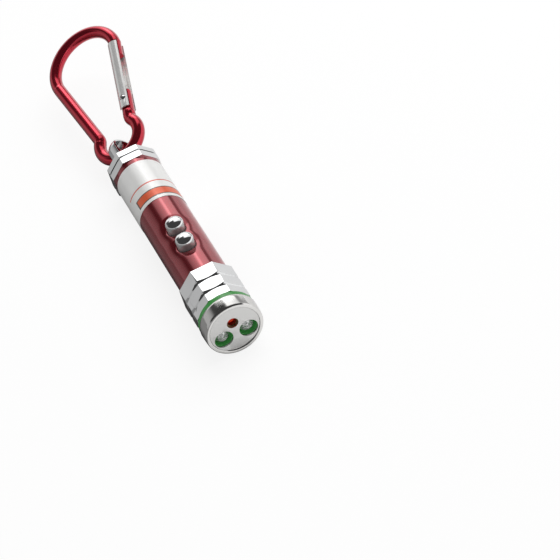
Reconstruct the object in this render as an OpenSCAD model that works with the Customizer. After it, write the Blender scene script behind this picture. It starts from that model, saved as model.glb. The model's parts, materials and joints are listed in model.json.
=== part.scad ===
// Keychain laser pointer with two lamps beside the laser, two push buttons,
// a screw-on tail cap with a drilled lug, and a spring-gate carabiner.
// Lengths are in millimetres. The barrel lies along Y with its lamps at -Y,
// the buttons face +Z, and the lowest line of the bezel rests on z = 0.

/* [Cells and barrel] */
// Diameter of one button cell
cell_d = 11.6; // [11:0.1:14]
// Height of one button cell
cell_h = 5.4; // [3:0.1:7]
// Radial play of the cells in the barrel
cell_play = 0.15; // [0.1:0.05:0.3]
// Wall of the barrel tube
tube_wall = 0.55; // [0.4:0.05:0.9]
// Length of the barrel between the head and the tail cap
tube_len = 49; // [47:0.5:70]
// Length of the barrel that sits inside the head
tube_seat = 5; // [3:0.5:6]

/* [Head] */
// Length of the eight-sided head
head_len = 12.2; // [11:0.1:16]
// How far the flats of the head stand outside the barrel
head_step = 0.6; // [0.5:0.05:1.5]
// Inward step that stops the barrel in the head
head_stop = 0.2; // [0.15:0.05:0.4]
// Distance of the front groove from the rear of the head
groove_front = 9; // [8:0.1:9.8]
// Distance of the rear groove from the rear of the head
groove_rear = 4.7; // [2:0.1:6]
// Depth of the lathe grooves below the flats
groove_depth = 0.2; // [0.1:0.02:0.3]
// Width of the lathe grooves where they cross the corners
groove_w = 1.3; // [0.6:0.1:1.6]

/* [Bezel and lamp carrier] */
// Length of the round bezel
bezel_len = 4.5; // [3.5:0.1:7]
// How far the bezel stands outside the flats of the head
bezel_step = 0.5; // [0.2:0.1:1.5]
// Width of the raised rim around the front face
rim_w = 1.15; // [0.9:0.05:2]
// Depth of the front face inside the rim
rim_depth = 0.6; // [0.3:0.1:1.2]
// Rounding of the rim's outer edge
rim_round = 0.45; // [0.2:0.05:0.6]
// Thickness of the front face
face_t = 0.5; // [0.4:0.1:1.8]
// Length of the lamp carrier that shows between bezel and head
ring_len = 1.1; // [0.5:0.1:3]
// How far the visible ring of the lamp carrier lies inside the bezel
ring_inset = 0.2; // [0.1:0.05:0.8]
// Depth of the lamp carrier inside the head
carrier_seat = 3; // [2:0.1:4]

/* [Lamps and laser] */
// Diameter of one lamp
lamp_d = 4.6; // [3.8:0.1:4.8]
// Space between the two lamps
lamp_web = 2; // [1.4:0.1:2.3]
// Space between a lamp and the bore of the head
lamp_edge = 0.25; // [0.22:0.01:0.4]
// How far a lamp's tip lies behind the front face
lamp_depth = 1.1; // [0.2:0.1:1.6]
// Thickness of the collar at the base of a lamp
lamp_collar_t = 0.8; // [0.5:0.1:1.2]
// Diameter of a lamp lead
lead_d = 0.44; // [0.3:0.02:0.6]
// Length of the lamp leads
lead_len = 8.6; // [7.5:0.1:12]
// Outer diameter of the laser module
laser_d = 5; // [4.4:0.1:5.2]
// Length of the laser module
laser_len = 11.8; // [10.5:0.1:12]
// Diameter of the aperture in front of the laser
aperture_d = 2.7; // [1.5:0.1:3]

/* [Buttons] */
// Diameter of a button
button_d = 4.7; // [4:0.1:5.2]
// Height of a button above the barrel
button_rise = 2.5; // [2:0.1:5]
// Radius of the domed top of a button
button_crown = 4; // [3:0.1:8]
// Rounding of the edge around a button's top
button_edge = 0.9; // [0.4:0.05:1.2]
// Space between a button and the edge of its hole
button_gap = 0.3; // [0.1:0.05:0.4]
// Distance of the front button in front of the insulating disc
button_place = 13.95; // [10.4:0.05:18.3]
// Distance between the two buttons
button_pitch = 7; // [6.8:0.1:9]
// Travel of a button
button_travel = 0.5; // [0.3:0.1:0.6]
// Thickness of the flange that keeps a button in
flange_t = 0.6; // [0.4:0.1:0.8]

/* [Board] */
// Thickness of the circuit board
board_t = 1; // [0.6:0.1:1.4]
// Height of the switches on the board
switch_h = 3.5; // [2.8:0.1:3.6]
// Side of a switch
switch_w = 4.6; // [4:0.1:6]
// Thickness of the insulating disc in front of the cells
disc_t = 1; // [0.6:0.1:1.5]
// Height of the contact stud in front of the cells
stud_h = 0.45; // [0.3:0.05:0.8]

/* [Label] */
// Length of the wrapped label
label_len = 16.6; // [10:0.1:17]
// Distance of the label from the tail cap
label_gap = 1.65; // [0.5:0.05:4]
// Thickness of the label
label_t = 0.08; // [0.05:0.01:0.2]

/* [Tail cap] */
// Length of the eight-sided part of the tail cap
cap_len = 4.85; // [4:0.05:8]
// How far the flats of the tail cap stand outside the barrel
cap_step = 0.1; // [0:0.05:0.6]
// Distance of the groove from the rear of the tail cap
cap_groove = 2.2; // [1.5:0.1:3]
// Width of the groove in the tail cap
cap_groove_w = 0.9; // [0.4:0.1:1.2]
// Length of the threaded plug in the barrel
plug_len = 4.2; // [3:0.1:5]
// Wall of the threaded plug
plug_wall = 1; // [0.8:0.1:1.5]
// Distance between the thread's grooves on the plug
thread_pitch = 0.75; // [0.5:0.05:1]
// Depth of the thread's grooves on the plug
thread_depth = 0.3; // [0.1:0.05:0.35]
// Depth of the spring pocket past the end of the barrel
pocket_depth = -0.5; // [-1:0.1:0.5]
// Thickness of the lug
lug_t = 3.2; // [2.4:0.1:3.4]
// Distance of the lug hole from the rear of the tail cap
lug_reach = 6.9; // [6:0.1:9]
// Diameter of the lug hole
lug_hole_d = 6.4; // [6.2:0.1:6.8]
// Wall around the lug hole, at the middle of the lug
lug_wall = 0.9; // [0.7:0.1:1.4]
// Space between the last cell and the threaded plug
cell_gap = 2.3; // [1.5:0.1:3]
// Wire diameter of the battery spring
spring_wire = 0.6; // [0.4:0.05:0.7]
// Coil diameter of the battery spring at the cell
spring_tip_d = 5; // [4:0.1:6]

/* [Carabiner] */
// Diameter of the carabiner's rod
rod_d = 3.4; // [2.8:0.05:3.5]
// Radius of the large lobe, along the rod's centre line
big_r = 10; // [9:0.1:11]
// Radius of the small lobe, along the rod's centre line
small_r = 6.1; // [5.8:0.1:7]
// Radius of the two necks, along the rod's centre line
neck_r = 2.2; // [2:0.1:3]
// Distance between the centres of the two lobes
lobe_gap = 30.4; // [28:0.1:40]
// Angle at which the two sides spread
side_flare = 10.7; // [9.5:0.1:12]
// How far the rod rests in front of the centre of the lug hole
rod_seat = 1; // [0:0.1:1]
// How far the rod rests to the gate side of the lug hole
rod_side = 0.4; // [0:0.1:0.6]
// Yaw of the carabiner away from the barrel's axis
hook_yaw = 4.8; // [-10:0.1:10]
// Rise of the carabiner above the barrel's axis
hook_pitch = 7.5; // [-5:0.5:10]
// Roll of the carabiner, gate side up
hook_roll = 22; // [15:0.5:35]

/* [Gate] */
// Length of full rod between the neck and the gate
gate_foot = 1.7; // [1.4:0.1:2.4]
// Length of the flattened tongue that carries the rivet
tongue_len = 6.7; // [6:0.1:7.4]
// Distance of the rivet from the foot of the tongue
rivet_place = 3.8; // [3.6:0.1:4.2]
// Length of the flattened nose inside the gate
nose_len = 3.6; // [3:0.1:5]
// How far the flattened nose runs into the large lobe
nose_over = 1; // [0.6:0.1:1]
// Thickness of the tongue and nose
tongue_t = 2.3; // [1.8:0.05:2.4]
// Outer diameter of the gate's rolled sheet
gate_d = 4.2; // [4:0.1:4.6]
// Width of the slot on the outside of the gate
gate_slot = 3.2; // [2.7:0.1:3.4]
// Thickness of the gate's sheet
sheet_t = 0.3; // [0.25:0.05:0.35]
// Diameter of the rivet
rivet_d = 1.2; // [1:0.1:1.4]
// Diameter of the rivet's heads
rivet_head_d = 1.8; // [1.6:0.1:1.9]
// Diameter of the dimple in a rivet's head
rivet_dimple_d = 0.8; // [0.4:0.1:1]

/* [Hidden] */
$fn = 72;

// Clearances
fit = 0.02;
run = 0.05;
slack = 0.12;
shadow_gap = 0.3;
past = 1;
join = 0.02;
lap = 0.1;

// Radii of the barrel and the parts around it
oct_half = 22.5;
tube_ri = cell_d / 2 + cell_play;
tube_r = tube_ri + tube_wall;
head_flat = tube_r + head_step;
head_bore_r = tube_r - head_stop;
bezel_r = head_flat + bezel_step;
face_r = bezel_r - rim_w;
rim_slope = 0.15;
ring_r = bezel_r - ring_inset;
cap_flat = tube_r + cap_step;
plug_r = tube_ri - run;
label_ri = tube_r + fit / 2;

// Places along the axis, counted from the front rim
s_face = rim_depth;
s_plate = s_face + face_t;
s_ring = bezel_len;
s_head = s_ring + ring_len;
s_tube = s_head + head_len;
s_cap = s_tube + tube_len;
s_end = s_cap + cap_len;
s_hole = s_end + lug_reach;
s_label = s_cap - label_gap - label_len;

// Lamps and laser in the head
lamp_r = lamp_d / 2;
lamp_ring_r = head_bore_r - lamp_r - lamp_edge;
lamp_x = (lamp_d + lamp_web) / 2;
lamp_drop = sqrt(pow(lamp_ring_r, 2) - pow(lamp_x, 2));
laser_r = laser_d / 2;
laser_gap = 0.15;
laser_rise = sqrt(pow(lamp_r + laser_r + laser_gap, 2) - pow(lamp_x, 2)) - lamp_drop;
lamp_tip = s_face + lamp_depth;
lamp_collar_r = lamp_r + lamp_edge - run;
s_carrier = s_head + carrier_seat;
s_laser = s_plate + laser_len;
lead_half = lead_d / 2;
lead_spread = 1.27;

// Laser module
nut_t = 1.2;
nut_wall = 0.9;
laser_wall = 0.45;
lens_r = laser_r - laser_wall;
lens_t = 1.2;
lens_crown = 0.6;
lens_ledge = 0.45;
throat_r = lens_r - lens_ledge;
s_lens = s_plate + nut_t;
s_seat = s_lens + lens_t;
diode_r = throat_r - run;
diode_base_r = lens_r - run;
diode_base_t = 0.8;
diode_len = 3.2;
diode_inset = 0.6;
diode_leads = 3;
diode_lead_len = 2.6;
s_diode = s_laser - diode_inset - diode_base_t;

// Circuit board, under the switches and above the lamp leads
board_bottom = lead_half + run - lamp_drop;
board_top = board_bottom + board_t;
board_half = sqrt(pow(tube_ri, 2) - pow(max(abs(board_bottom), abs(board_top)), 2)) - run;
board_room = 0.55;
s_board = s_laser + board_room;
switch_top = board_top + switch_h;
stem_r = 1.5;
stem_depth = 0.9;
stem_room = 0.2;
stem_well = stem_depth + button_travel + stem_room;

// Buttons
button_r = button_d / 2;
button_hole_r = button_r + button_gap;
flange_w = 0.75;
flange_r = button_r + flange_w;
flange_top = sqrt(pow(tube_ri, 2) - pow(flange_r, 2)) - shadow_gap;
flange_bottom = flange_top - flange_t;
button_top = tube_r + button_rise;
button_core = button_r - button_edge;
crown_foot = button_top - button_crown + sqrt(pow(button_crown - button_edge, 2) - pow(button_core, 2));
crown_edge = button_core * button_crown / (button_crown - button_edge);

// Cells, disc and buttons, counted forward from the threaded plug of the tail cap
cell_count = 3;
s_spring = s_cap - plug_len - cell_gap;
s_cells = s_spring - cell_count * cell_h;
s_disc = s_cells - stud_h - disc_t;
s_button = s_disc - button_place;
button_places = [s_button, s_button + button_pitch];
cell_r = cell_d / 2;
cell_cap_h = 0.4;
cell_step = 1.1;
cell_cap_r = cell_r - cell_step;
cell_edge = 0.35;
stud_r = 1.6;
stud_shank_r = 1;

// Lug, turned about the barrel so that its hole faces up to the right
lug_turn = 45;
lug_r = lug_hole_d / 2 + lug_wall;

// Battery spring, a cone of wire between the last cell and the tail cap
s_pocket = s_cap + pocket_depth;
pocket_r = plug_r - plug_wall;
thread_fill = 0.8;
spring_turns = 4;
spring_steps = 16;
spring_sides = 6;
spring_room = 0.2;
spring_foot_r = pocket_r - spring_wire / 2 - spring_room;
spring_tip_r = spring_tip_d / 2;

// Carabiner outline: two lobes, two necks and two straight sides
rod_r = rod_d / 2;
small_c = [small_r - rod_seat, 0];
big_c = [small_c[0] + lobe_gap, 0];
neck_across = big_r + neck_r - lobe_gap * sin(side_flare);
neck_along = sqrt(pow(small_r + neck_r, 2) - pow(neck_across, 2));
neck_turn = atan2(neck_across, neck_along) + side_flare;
neck_c = small_c + (small_r + neck_r) * [cos(neck_turn), sin(neck_turn)];
side_start = neck_c + neck_r * [sin(side_flare), -cos(side_flare)];
side_end = big_c + big_r * [-sin(side_flare), cos(side_flare)];
side_len = norm(side_end - side_start);

// Gate, placed along the carabiner's open side
heel_room = 0.7;
gate_lo = gate_foot + heel_room;
gate_hi = side_len + nose_over - shadow_gap;
rivet_x = gate_foot + rivet_place;
slot_play = 0.1;
slot_half = tongue_t / 2 + slot_play;
gate_r = gate_d / 2;
gate_ri = gate_r - sheet_t;
web_room = 0.6;
web_start = rivet_x + web_room;
rivet_r = rivet_d / 2;
rivet_head_r = rivet_head_d / 2;
rivet_head_h = 0.45;
rivet_dimple = 0.25;
rivet_seat = sqrt(pow(gate_r, 2) - pow(rivet_head_r + fit, 2));
leaf_t = 0.15;
leaf_w = 1.2;
leaf_len = 9;
leaf_room = 0.05;
leaf_in = sqrt(pow(gate_ri, 2) - pow(leaf_w / 2, 2)) - fit;
tongue_in = leaf_in - leaf_t - leaf_room;

// The part's own frame: centre of the outer box in plan, bezel on the ground
hook_tilt = sin(hook_pitch) * sin(hook_roll);
hook_x = [
    sin(hook_yaw) * cos(hook_pitch),
    cos(hook_yaw) * cos(hook_roll) - sin(hook_yaw) * hook_tilt
];
hook_y = [
    cos(hook_yaw) * cos(hook_pitch),
    -sin(hook_yaw) * cos(hook_roll) - cos(hook_yaw) * hook_tilt
];
lobe_c = [big_c[0], rod_side];
box_right = lobe_c * hook_x + big_r * norm(hook_x) + rod_r - join;
box_back = s_hole + lobe_c * hook_y + big_r * norm(hook_y) + rod_r - join;
frame_shift = [(bezel_r - box_right) / 2, -box_back / 2, bezel_r];

// Colours
chrome = [0.86, 0.87, 0.88];
nickel = [0.75, 0.75, 0.74];
wine_red = [0.45, 0.12, 0.18];
candy_red = [0.75, 0.08, 0.16];
leaf_green = [0.3, 0.6, 0.32];
silver_white = [0.9, 0.91, 0.9];
brass = [0.78, 0.62, 0.3];
board_green = [0.1, 0.35, 0.2];
black = [0.1, 0.1, 0.1];
clear = [0.85, 0.92, 0.92];

// Puts the barrel's axis into the part's frame: Y back along the barrel, Z up.
module place() {
    translate(frame_shift) children();
}

// Turns a shape drawn along its own Z into one that runs back along the barrel.
module along() {
    place() rotate([-90, 0, 0]) children();
}

// Ring of a profile drawn as radius and place along the barrel.
module turned(points) {
    rotate_extrude() polygon(points);
}

// Eight-sided bar with a flat on top, from one place to another.
module octagon_bar(flat, from, to) {
    translate([0, 0, from])
        rotate([0, 0, oct_half])
            cylinder(r = flat / cos(oct_half), h = to - from, $fn = 8);
}

// Cutter for a V groove that is deepest at its middle.
module v_groove(flat, middle, depth, width) {
    corner = flat / cos(oct_half);
    slope = width / 2 / (corner - flat + depth);
    reach = corner + past;
    half = slope * (reach - flat + depth);
    turned([[flat - depth, middle], [reach, middle - half], [reach, middle + half]]);
}

// Cutter for one groove of the thread on the plug.
module thread_groove(middle) {
    half = thread_pitch / 2 * (1 + lap / thread_depth) * thread_fill;
    reach = plug_r + lap;
    turned([[plug_r - thread_depth, middle], [reach, middle - half], [reach, middle + half]]);
}

// Straight round bar along the barrel, off its axis by x to the right and up.
module bar_at(x, up, r, from, to) {
    translate([x, -up, from]) cylinder(r = r, h = to - from);
}

module front_bezel() {
    round_r = bezel_r - rim_round;
    color(chrome) along() difference() {
        rotate_extrude() {
            polygon([
                [0, s_face], [face_r, s_face], [face_r + rim_slope, 0], [round_r, 0], [bezel_r, rim_round],
                [bezel_r, s_ring], [head_bore_r, s_ring], [head_bore_r, s_plate], [0, s_plate]
            ]);
            intersection() {
                translate([round_r, rim_round]) circle(r = rim_round);
                translate([round_r, 0]) square(rim_round);
            }
        }
        bar_at(0, laser_rise, aperture_d / 2, -past, s_ring);
        for (side = [-1, 1])
            bar_at(side * lamp_x, -lamp_drop, lamp_r + slack, -past, s_ring);
    }
}

module led_carrier() {
    color(leaf_green) along() difference() {
        turned([
            [0, s_plate], [head_bore_r - fit, s_plate], [head_bore_r - fit, s_ring], [ring_r, s_ring],
            [ring_r, s_head], [head_bore_r - fit, s_head], [head_bore_r - fit, s_carrier], [0, s_carrier]
        ]);
        bar_at(0, laser_rise, laser_r + fit, 0, s_carrier + past);
        for (side = [-1, 1])
            bar_at(side * lamp_x, -lamp_drop, lamp_r + fit, 0, s_carrier + past);
    }
}

module head_collar() {
    color(chrome) along() difference() {
        octagon_bar(head_flat, s_head, s_tube);
        for (back = [groove_front, groove_rear])
            v_groove(head_flat, s_tube - back, groove_depth, groove_w);
        translate([0, 0, s_head - past]) cylinder(r = head_bore_r, h = head_len + 2 * past);
        translate([0, 0, s_tube - tube_seat]) cylinder(r = tube_r + fit, h = tube_seat + past);
    }
}

module barrel_tube() {
    color(wine_red) along() difference() {
        translate([0, 0, s_tube - tube_seat]) cylinder(r = tube_r, h = tube_seat + tube_len);
        translate([0, 0, s_tube - tube_seat - past])
            cylinder(r = tube_ri, h = tube_seat + tube_len + 2 * past);
        for (s = button_places)
            translate([0, 0, s]) rotate([90, 0, 0]) cylinder(r = button_hole_r, h = tube_r + past);
    }
}

module label_wrap() {
    color(silver_white) along() difference() {
        translate([0, 0, s_label]) cylinder(r = label_ri + label_t, h = label_len);
        translate([0, 0, s_label - past]) cylinder(r = label_ri, h = label_len + 2 * past);
    }
}

// Lamp with a round nose, a collar at its base and two leads.
module lamp(side) {
    color(clear) along() translate([side * lamp_x, lamp_drop, 0]) {
        rotate_extrude() {
            intersection() {
                translate([0, lamp_tip + lamp_r]) circle(r = lamp_r);
                translate([0, lamp_tip]) square([lamp_r, lamp_r]);
            }
            translate([0, lamp_tip + lamp_r]) square([lamp_r, s_carrier - lamp_tip - lamp_r]);
            translate([0, s_carrier]) square([lamp_collar_r, lamp_collar_t]);
        }
        for (lead = [-1, 1])
            translate([lead * lead_spread, 0, s_carrier + lamp_collar_t])
                cylinder(r = lead_half, h = lead_len);
    }
}

module led_left() {
    lamp(-1);
}

module led_right() {
    lamp(1);
}

// Puts a shape drawn along Z on the axis of the laser.
module on_laser() {
    along() translate([0, -laser_rise, 0]) children();
}

module laser_housing() {
    color(brass) on_laser() turned([
        [lens_r + fit, s_plate], [laser_r, s_plate], [laser_r, s_laser], [diode_base_r + fit, s_laser],
        [diode_base_r + fit, s_diode], [throat_r, s_diode], [throat_r, s_seat], [lens_r + fit, s_seat]
    ]);
}

module lens_nut() {
    color(brass) on_laser() turned([
        [lens_r - nut_wall, s_plate], [lens_r, s_plate], [lens_r, s_lens], [lens_r - nut_wall, s_lens]
    ]);
}

module laser_lens() {
    crown_r = throat_r - run;
    crown_sphere = (pow(crown_r, 2) + pow(lens_crown, 2)) / (2 * lens_crown);
    color(clear) on_laser() rotate_extrude() {
        translate([0, s_lens]) square([lens_r, lens_t]);
        intersection() {
            translate([0, s_seat + lens_crown - crown_sphere]) circle(r = crown_sphere);
            translate([0, s_seat]) square([crown_r, lens_crown]);
        }
    }
}

module laser_diode() {
    color(nickel) on_laser() {
        translate([0, 0, s_diode]) cylinder(r = diode_base_r, h = diode_base_t);
        translate([0, 0, s_diode - diode_len]) cylinder(r = diode_r, h = diode_len);
        for (i = [1 : diode_leads])
            rotate([0, 0, 90 + 360 * i / diode_leads])
                translate([diode_r / 2, 0, s_diode + diode_base_t])
                    cylinder(r = lead_half, h = diode_lead_len);
    }
}

module circuit_board() {
    color(board_green) place()
        translate([-board_half, s_board, board_bottom])
            cube([2 * board_half, s_disc - s_board, board_t]);
}

// Switch body with a well for its plunger.
module switch_at(s) {
    color(black) place() difference() {
        translate([-switch_w / 2, s - switch_w / 2, board_top]) cube([switch_w, switch_w, switch_h]);
        translate([0, s, switch_top - stem_well]) cylinder(r = stem_r + run, h = stem_well + past);
    }
}

module switch_front() {
    switch_at(button_places[0]);
}

module switch_rear() {
    switch_at(button_places[1]);
}

// Plunger between a switch and the flange of its button.
module plunger_at(s) {
    foot = switch_top - stem_depth;
    color(nickel) place() translate([0, s, foot]) cylinder(r = stem_r, h = flange_bottom - foot);
}

module plunger_front() {
    plunger_at(button_places[0]);
}

module plunger_rear() {
    plunger_at(button_places[1]);
}

// Domed button with a rounded edge and the flange that keeps it inside the barrel.
module button_at(s) {
    color(chrome) place() translate([0, s, 0]) rotate_extrude() {
        translate([0, flange_bottom]) square([flange_r, flange_t]);
        translate([0, flange_top]) square([button_r, crown_foot - flange_top]);
        translate([button_core, crown_foot]) circle(r = button_edge);
        intersection() {
            translate([0, button_top - button_crown]) circle(r = button_crown);
            translate([0, crown_foot]) square([crown_edge, button_top - crown_foot]);
        }
    }
}

module button_front() {
    button_at(button_places[0]);
}

module button_rear() {
    button_at(button_places[1]);
}

module contact_disc() {
    color(black) along() difference() {
        translate([0, 0, s_disc]) cylinder(r = tube_ri - run, h = disc_t);
        translate([0, 0, s_disc - past]) cylinder(r = stud_shank_r + fit, h = disc_t + 2 * past);
    }
}

module contact_stud() {
    color(brass) along() turned([
        [0, s_disc], [stud_shank_r, s_disc], [stud_shank_r, s_disc + disc_t],
        [stud_r, s_disc + disc_t], [stud_r, s_cells], [0, s_cells]
    ]);
}

// Button cell: a can with a bevelled edge and a narrower cap at its rear.
module cell_at(index) {
    from = s_cells + index * cell_h;
    shoulder = from + cell_h - cell_cap_h;
    color(nickel) along() turned([
        [0, from], [cell_r - cell_edge, from], [cell_r, from + cell_edge], [cell_r, shoulder - cell_edge],
        [cell_r - cell_edge, shoulder], [cell_cap_r, shoulder],
        [cell_cap_r, from + cell_h], [0, from + cell_h]
    ]);
}

module cell_front() {
    cell_at(0);
}

module cell_middle() {
    cell_at(1);
}

module cell_rear() {
    cell_at(2);
}

// Centre of the spring's wire at a fraction of its length, tip first.
function spring_point(t) =
    let (r = spring_tip_r + (spring_foot_r - spring_tip_r) * t)
    let (lift = spring_wire / 2 + run)
    let (s = s_spring + lift + (s_pocket - s_spring - 2 * lift) * t)
    [r * cos(360 * spring_turns * t), r * sin(360 * spring_turns * t), s];

// One corner of the wire's section there, in the plane that holds the axis.
function spring_corner(t, side) =
    let (a = 360 * spring_turns * t)
    let (b = 360 * side / spring_sides)
    spring_point(t) + spring_wire / 2 * [cos(b) * cos(a), cos(b) * sin(a), sin(b)];

module battery_spring() {
    rings = spring_turns * spring_steps;
    sides = spring_sides;
    points = [for (i = [0 : rings]) for (k = [0 : sides - 1]) spring_corner(i / rings, k)];
    walls = [
        for (i = [0 : rings - 1]) for (k = [0 : sides - 1])
        let (here = i * sides + k)
        let (next = i * sides + (k + 1) % sides)
        for (face = [[here, next, here + sides], [next, next + sides, here + sides]]) face
    ];
    first = [for (k = [1 : sides - 2]) [0, k + 1, k]];
    tail = rings * sides;
    last = [for (k = [1 : sides - 2]) [tail, tail + k, tail + k + 1]];
    color(nickel) along() polyhedron(points, concat(walls, first, last));
}

// Lug turned from round bar with a ball end, then cut flat on two sides.
module lug() {
    intersection() {
        rotate_extrude() {
            translate([0, s_end - lap]) square([lug_r, lug_reach + lap]);
            intersection() {
                translate([0, s_hole]) circle(r = lug_r);
                translate([0, s_hole]) square(lug_r);
            }
        }
        on_lug() cube([2 * (lug_reach + lug_r), 2 * lug_r + past, lug_t], center = true);
    }
}

module tail_cap() {
    threads = floor(plug_len / thread_pitch) - 1;
    color(chrome) along() difference() {
        union() {
            octagon_bar(cap_flat, s_cap, s_end);
            translate([0, 0, s_cap - plug_len]) cylinder(r = plug_r, h = plug_len);
            lug();
        }
        v_groove(cap_flat, s_end - cap_groove, groove_depth, cap_groove_w);
        for (i = [1 : threads]) thread_groove(s_cap - i * thread_pitch);
        translate([0, 0, s_cap - plug_len - past])
            cylinder(r = pocket_r, h = plug_len + pocket_depth + past);
        on_lug() cylinder(r = lug_hole_d / 2, h = lug_t + 2 * past, center = true);
    }
}

// Puts a shape at the lug hole: Z along the hole, X towards the front.
module on_lug() {
    translate([0, 0, s_hole]) rotate([0, 0, -lug_turn]) rotate([0, 90, 0]) children();
}

// Puts the carabiner's own plane at the lug hole: X along it, Y to the gate side.
module on_hook() {
    place() translate([0, s_hole, 0])
        rotate([0, 0, -hook_yaw]) rotate([hook_pitch, 0, 0]) rotate([0, -hook_roll, 0])
            rotate([180, 0, 90]) translate([0, rod_side, 0]) children();
}

// Bent piece of rod around a centre, between two angles.
module bent_rod(centre, bend_r, thick_r, from, to) {
    translate(centre) rotate([0, 0, from]) rotate_extrude(angle = to - from)
        translate([bend_r, 0]) circle(r = thick_r);
}

// Straight piece of rod along X.
module straight_rod(thick_r, from, to) {
    translate([from, 0, 0]) rotate([0, 90, 0]) cylinder(r = thick_r, h = to - from);
}

// Neck between the small lobe and a side, lapped into both.
module neck_rod() {
    extra = lap / neck_r * 180 / PI;
    bent_rod(neck_c, neck_r, rod_r - join, neck_turn + 180 - extra, side_flare + 270 + extra);
}

// Puts a shape on the side that holds the gate: X along the side, Y outward.
module on_side() {
    translate(side_start) rotate([0, 0, side_flare]) children();
}

// Flattened rod inside the gate, thinner and cut back on its inner side.
module tongue(thick_r, from, to) {
    intersection() {
        straight_rod(thick_r, from, to);
        translate([from, -tongue_in, -tongue_t / 2]) cube([to - from, tongue_in + rod_r, tongue_t]);
    }
}

module carabiner_hook() {
    big_to = 90 + side_flare;
    big_from = -big_to - lap / big_r * 180 / PI;
    nose_from = big_to - nose_over / big_r * 180 / PI;
    tongue_r = rod_r - 2 * join;
    nose_r = tongue_r - 3 * join;
    color(candy_red) on_hook() difference() {
        union() {
            bent_rod(small_c, small_r, rod_r, neck_turn, 360 - neck_turn);
            bent_rod(big_c, big_r, rod_r - join, big_from, nose_from);
            neck_rod();
            mirror([0, 1, 0]) neck_rod();
            mirror([0, 1, 0]) on_side() straight_rod(rod_r, 0, side_len);
            on_side() {
                straight_rod(rod_r, 0, gate_foot);
                tongue(tongue_r, gate_foot - lap, gate_foot + tongue_len);
                tongue(nose_r, side_len - nose_len, side_len + nose_over + lap);
            }
        }
        on_side() translate([rivet_x, 0, 0]) cylinder(r = rivet_r + run, h = rod_d, center = true);
    }
}

// Section of the gate: rolled sheet with a slot on the outside.
module gate_section() {
    difference() {
        circle(r = gate_r);
        circle(r = gate_ri);
        translate([0, -gate_slot / 2]) square([gate_r + past, gate_slot]);
    }
}

module carabiner_gate() {
    color(nickel) on_hook() on_side() difference() {
        translate([gate_lo, 0, 0]) rotate([90, 0, 90])
            linear_extrude(gate_hi - gate_lo) gate_section();
        translate([0, -gate_d, -slot_half]) cube([web_start, 2 * gate_d, 2 * slot_half]);
        translate([rivet_x, 0, 0]) {
            cylinder(r = rivet_r + fit, h = 2 * gate_d, center = true);
            for (side = [-1, 1]) scale([1, 1, side])
                translate([0, 0, rivet_seat]) cylinder(r = rivet_head_r + fit, h = gate_r);
        }
    }
}

module gate_rivet() {
    top = rivet_seat + rivet_head_h;
    head_sphere = (pow(rivet_head_r, 2) + pow(rivet_head_h, 2)) / (2 * rivet_head_h);
    color(nickel) on_hook() on_side() translate([rivet_x, 0, 0]) {
        cylinder(r = rivet_r, h = 2 * rivet_seat, center = true);
        for (side = [-1, 1]) scale([1, 1, side]) rotate_extrude() difference() {
            intersection() {
                translate([0, top - head_sphere]) circle(r = head_sphere);
                translate([0, rivet_seat]) square([rivet_head_r, rivet_head_h]);
            }
            translate([0, top - rivet_dimple]) square([rivet_dimple_d / 2, rivet_head_h]);
        }
    }
}

// Leaf that lies on the web of the gate and bears on the tongue.
module gate_spring() {
    color(nickel) on_hook() on_side()
        translate([web_start, -leaf_in, -leaf_w / 2]) cube([leaf_len, leaf_t, leaf_w]);
}

front_bezel();
led_carrier();
head_collar();
barrel_tube();
label_wrap();
led_left();
led_right();
laser_housing();
lens_nut();
laser_lens();
laser_diode();
circuit_board();
switch_front();
switch_rear();
plunger_front();
plunger_rear();
button_front();
button_rear();
contact_disc();
contact_stud();
cell_front();
cell_middle();
cell_rear();
battery_spring();
tail_cap();
carabiner_hook();
carabiner_gate();
gate_rivet();
gate_spring();
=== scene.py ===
import json
import math

import bmesh
import bpy
from mathutils import Matrix, Vector


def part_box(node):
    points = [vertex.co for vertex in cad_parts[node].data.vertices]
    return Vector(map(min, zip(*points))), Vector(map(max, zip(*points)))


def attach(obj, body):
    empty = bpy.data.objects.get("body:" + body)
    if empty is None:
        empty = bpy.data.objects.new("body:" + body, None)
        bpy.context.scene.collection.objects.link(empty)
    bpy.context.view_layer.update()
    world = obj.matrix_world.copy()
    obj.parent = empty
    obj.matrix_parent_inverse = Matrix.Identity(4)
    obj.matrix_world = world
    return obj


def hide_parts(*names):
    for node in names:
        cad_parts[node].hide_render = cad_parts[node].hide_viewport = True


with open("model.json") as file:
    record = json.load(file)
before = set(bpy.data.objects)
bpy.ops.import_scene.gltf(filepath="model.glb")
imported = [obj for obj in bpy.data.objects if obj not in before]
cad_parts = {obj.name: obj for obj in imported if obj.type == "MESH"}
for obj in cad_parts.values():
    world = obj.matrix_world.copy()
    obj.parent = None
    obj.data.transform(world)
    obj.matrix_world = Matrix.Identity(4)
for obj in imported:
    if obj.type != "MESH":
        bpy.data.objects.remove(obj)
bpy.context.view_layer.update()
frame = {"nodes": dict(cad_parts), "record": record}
MM = 0.001
MICRON = 0.000001
BACK = Vector((0, 1, 0))

# Places on the barrel, read from the frame.
tube_lo, tube_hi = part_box("barrel_tube")
AXIS = Vector(((tube_lo.x + tube_hi.x) / 2, 0, (tube_lo.z + tube_hi.z) / 2))
TUBE_R = (tube_hi.x - tube_lo.x) / 2
FRONT_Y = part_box("front_bezel")[0].y
HEAD_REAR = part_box("head_collar")[1].y
LABEL_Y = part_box("label_wrap")[0].y
BUTTON_Y = [(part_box(n)[0].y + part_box(n)[1].y) / 2 for n in ("button_front", "button_rear")]

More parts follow.
